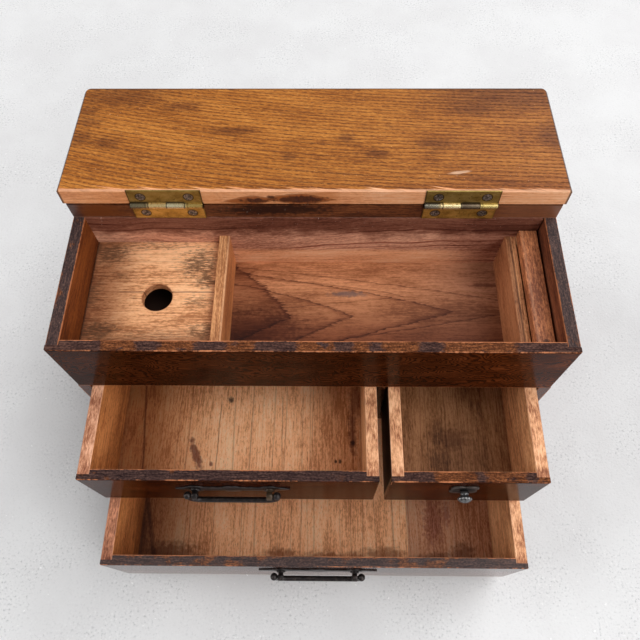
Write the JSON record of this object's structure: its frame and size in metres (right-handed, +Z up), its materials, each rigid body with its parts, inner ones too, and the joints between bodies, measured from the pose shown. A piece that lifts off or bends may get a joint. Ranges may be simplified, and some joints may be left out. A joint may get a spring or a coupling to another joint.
{
  "type": "sewing box",
  "caption": "Wooden sewing box with a hinged half lid over a divided tray, side-by-side upper drawers and a wide lower drawer with drop pulls and a knob.",
  "frame": {"origin": "middle of the carcass's flat underside, which stands on the table", "axes": "+X to the right along the lid's hinge line, +Y to the back away from the drawers, +Z up"},
  "size_m": [0.3026, 0.2939, 0.2207],
  "materials": {
    "lacquered_wood": "dark red-brown lacquer, glossy, worn to bare wood on the arrises",
    "tray_wood": "bare reddish softwood, satin",
    "drawer_wood": "bare tan softwood, matt, stained with age",
    "lid_wood": "amber-brown wood with a fine dark grain, satin",
    "brass": "aged brass, dull on the leaves and bright on the knuckles",
    "screw_steel": "dull dark steel",
    "black_iron": "blackened iron, satin",
    "knob_metal": "dark grey metal, worn bright on the high points"
  },
  "bodies": {
    "carcass": {"left_side": "lacquered_wood", "right_side": "lacquered_wood", "base_board": "tray_wood", "drawer_shelf": "tray_wood", "tray_floor": "tray_wood", "back_panel": "lacquered_wood", "drawer_partition": "tray_wood", "tray_front": "lacquered_wood", "tray_rear_wall": "tray_wood", "rear_top_board": "lacquered_wood", "hinge_rail": "lacquered_wood", "left_divider": "tray_wood", "right_divider": "tray_wood", "hole_board_ledges": "tray_wood", "pocket_cleats": "tray_wood", "left_hinge_rail_leaf": "brass", "right_hinge_rail_leaf": "brass", "left_hinge_pin": "brass", "right_hinge_pin": "brass", "hinge_screws_rail": "screw_steel"},
    "lid": {"lid": "lid_wood", "left_hinge_lid_leaf": "brass", "right_hinge_lid_leaf": "brass", "hinge_screws_lid": "screw_steel"},
    "holed_board": {"finger_hole_board": "tray_wood"},
    "cover": {"pocket_cover": "tray_wood"},
    "left_drawer": {"left_drawer_front": "lacquered_wood", "left_drawer_left_side": "drawer_wood", "left_drawer_right_side": "drawer_wood", "left_drawer_back": "drawer_wood", "left_drawer_bottom": "drawer_wood", "left_pull_plate": "black_iron", "left_pull_posts": "black_iron"},
    "right_drawer": {"right_drawer_front": "lacquered_wood", "right_drawer_left_side": "drawer_wood", "right_drawer_right_side": "drawer_wood", "right_drawer_back": "drawer_wood", "right_drawer_bottom": "drawer_wood", "knob_rose": "knob_metal", "knob": "knob_metal"},
    "bottom_drawer": {"bottom_drawer_front": "lacquered_wood", "bottom_drawer_left_side": "drawer_wood", "bottom_drawer_right_side": "drawer_wood", "bottom_drawer_back": "drawer_wood", "bottom_drawer_bottom": "drawer_wood", "bottom_pull_plate": "black_iron", "bottom_pull_posts": "black_iron"},
    "left_bail": {"left_pull_bail": "black_iron"},
    "bottom_bail": {"bottom_pull_bail": "black_iron"}
  },
  "joints": [
    {"name": "lid_hinge", "type": "hinge", "parent": "carcass", "child": "lid", "pos_m": [0, -0.0025, 0.2082], "axis": [-1, 0, 0], "range_deg": [-183.82, 0]},
    {"name": "left_drawer_slide", "type": "slide", "parent": "carcass", "child": "left_drawer", "axis": [0, -1, 0], "range_m": [-0.0595, 0.0655]},
    {"name": "right_drawer_slide", "type": "slide", "parent": "carcass", "child": "right_drawer", "axis": [0, -1, 0], "range_m": [-0.0595, 0.0655]},
    {"name": "bottom_drawer_slide", "type": "slide", "parent": "carcass", "child": "bottom_drawer", "axis": [0, -1, 0], "range_m": [-0.1013, 0.0237]},
    {"name": "left_bail_swing", "type": "hinge", "parent": "left_drawer", "child": "left_bail", "pos_m": [-0.0498, -0.1569, 0.1196], "axis": [-1, 0, 0], "range_deg": [-10, 150]},
    {"name": "bottom_bail_swing", "type": "hinge", "parent": "bottom_drawer", "child": "bottom_bail", "pos_m": [0.0028, -0.1987, 0.0563], "axis": [-1, 0, 0], "range_deg": [-10, 150]},
    {"name": "holed_board_lift", "type": "slide", "parent": "carcass", "child": "holed_board", "axis": [0, 0, 1], "range_m": [0, 0.033]},
    {"name": "cover_lift", "type": "slide", "parent": "carcass", "child": "cover", "axis": [0, 0, 1], "range_m": [0, 0.02]}
  ]
}
